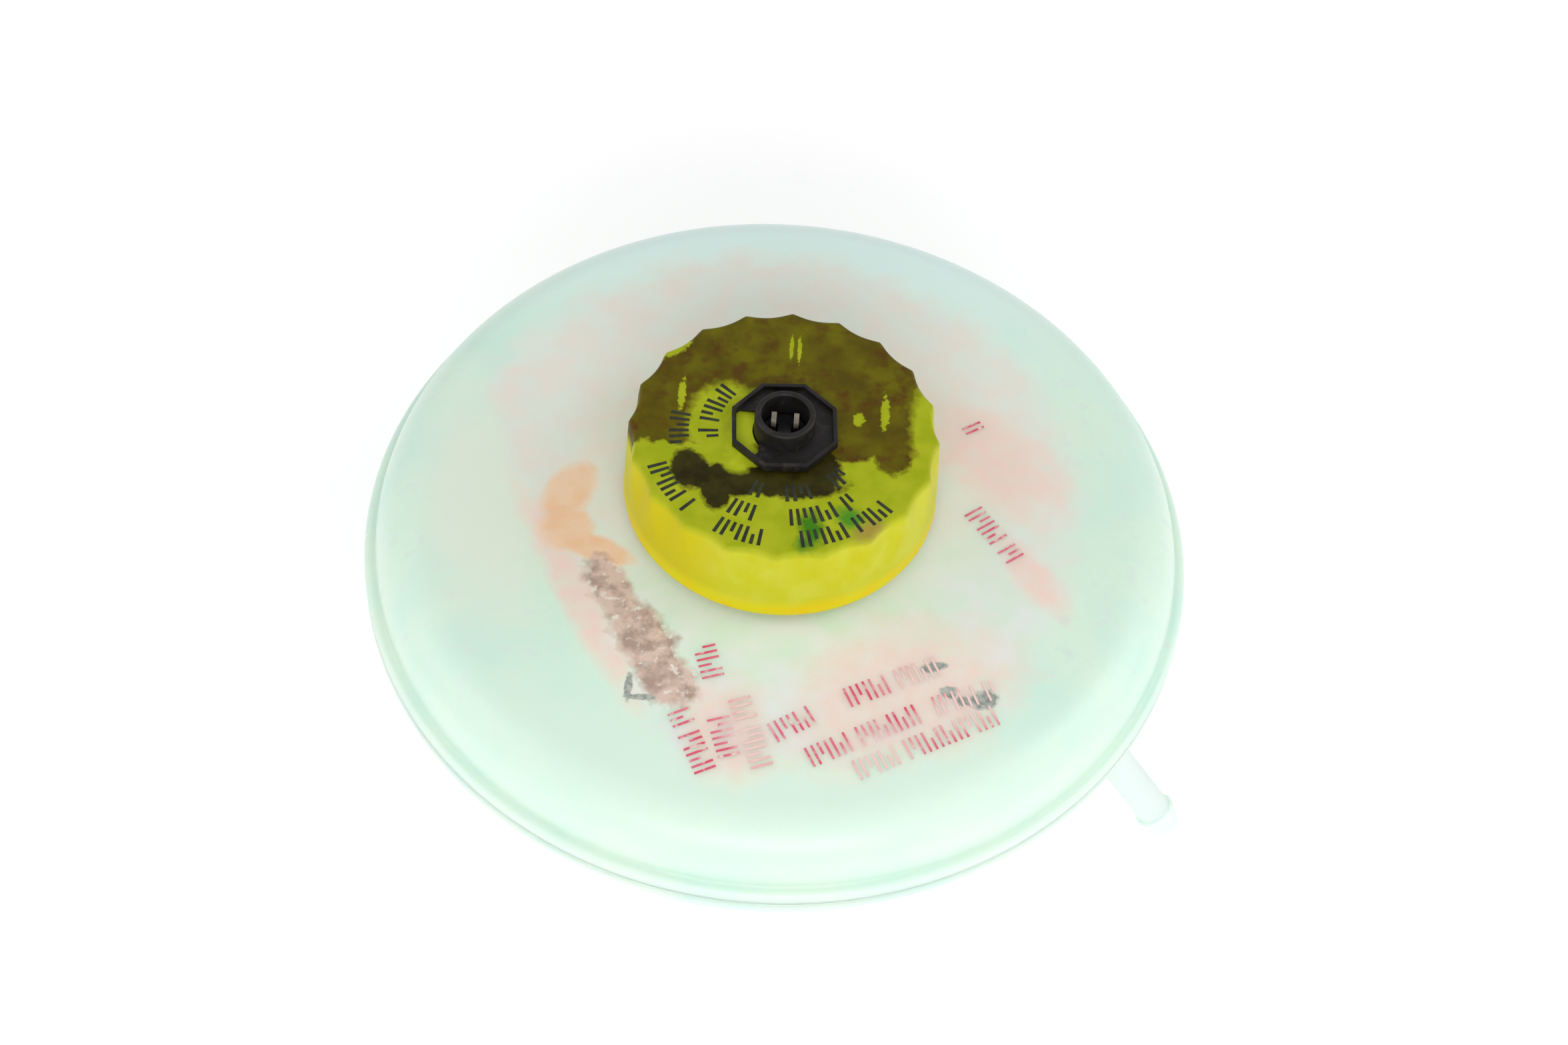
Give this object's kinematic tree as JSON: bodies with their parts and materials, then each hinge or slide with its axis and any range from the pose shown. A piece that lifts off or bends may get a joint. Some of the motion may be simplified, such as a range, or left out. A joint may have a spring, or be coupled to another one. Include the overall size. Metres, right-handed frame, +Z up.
{
  "type": "brake fluid reservoir",
  "caption": "Round translucent brake fluid reservoir with a fluted screw cap, a float level sensor in the cap, two outlet stubs and a hose nozzle.",
  "frame": {"origin": "centre of the saddle's flat underside, which sits on the master cylinder between the outlet stubs", "axes": "+Z up along the filler neck's axis, Y through both outlet stubs, the hose nozzle towards +X"},
  "size_m": [0.1421, 0.1376, 0.0919],
  "materials": {
    "milky_shell": "milky translucent polypropylene, satin as moulded, with faded red print on the dome",
    "yellow_cap": "yellow polypropylene, satin, with black print and a dark stain on its top",
    "black_nylon": "black glass-filled nylon, satin",
    "rubber": "black EPDM rubber",
    "natural_nylon": "natural off-white nylon",
    "strainer_mesh": "fine woven nylon mesh",
    "contact_metal": "tin-plated brass",
    "sealing_resin": "dark epoxy resin",
    "spring_steel": "spring steel",
    "reed_glass": "green-tinted glass",
    "float_foam": "closed-cell foamed nitrile, dark",
    "ferrite": "sintered ferrite"
  },
  "bodies": {
    "reservoir": {"upper_shell": "milky_shell", "lower_shell": "milky_shell", "strainer_frame": "natural_nylon", "strainer_mesh": "strainer_mesh"},
    "sensor_unit": {"sensor_head": "black_nylon", "contact_left": "contact_metal", "contact_right": "contact_metal", "socket_potting": "sealing_resin", "head_seal": "rubber", "snap_ring": "spring_steel", "guide_stem": "black_nylon", "reed_switch": "reed_glass", "reed_lead_lower": "contact_metal", "reed_lead_upper": "contact_metal", "stem_clip": "spring_steel"},
    "screw_cap": {"cap_ring": "yellow_cap", "cap_gasket": "rubber"},
    "float_unit": {"float": "float_foam", "float_magnet": "ferrite", "magnet_cover": "natural_nylon"}
  },
  "joints": [
    {"name": "cap_lift", "type": "slide", "parent": "reservoir", "child": "sensor_unit", "axis": [0, 0, 1], "range_m": [0, 0.06]},
    {"name": "cap_turn", "type": "hinge", "parent": "sensor_unit", "child": "screw_cap", "pos_m": [0, 0, 0.07145], "axis": [0, 0, 1], "range_deg": [0, 540]},
    {"name": "float_travel", "type": "slide", "parent": "sensor_unit", "child": "float_unit", "axis": [0, 0, 1], "range_m": [0, 0.022]}
  ]
}
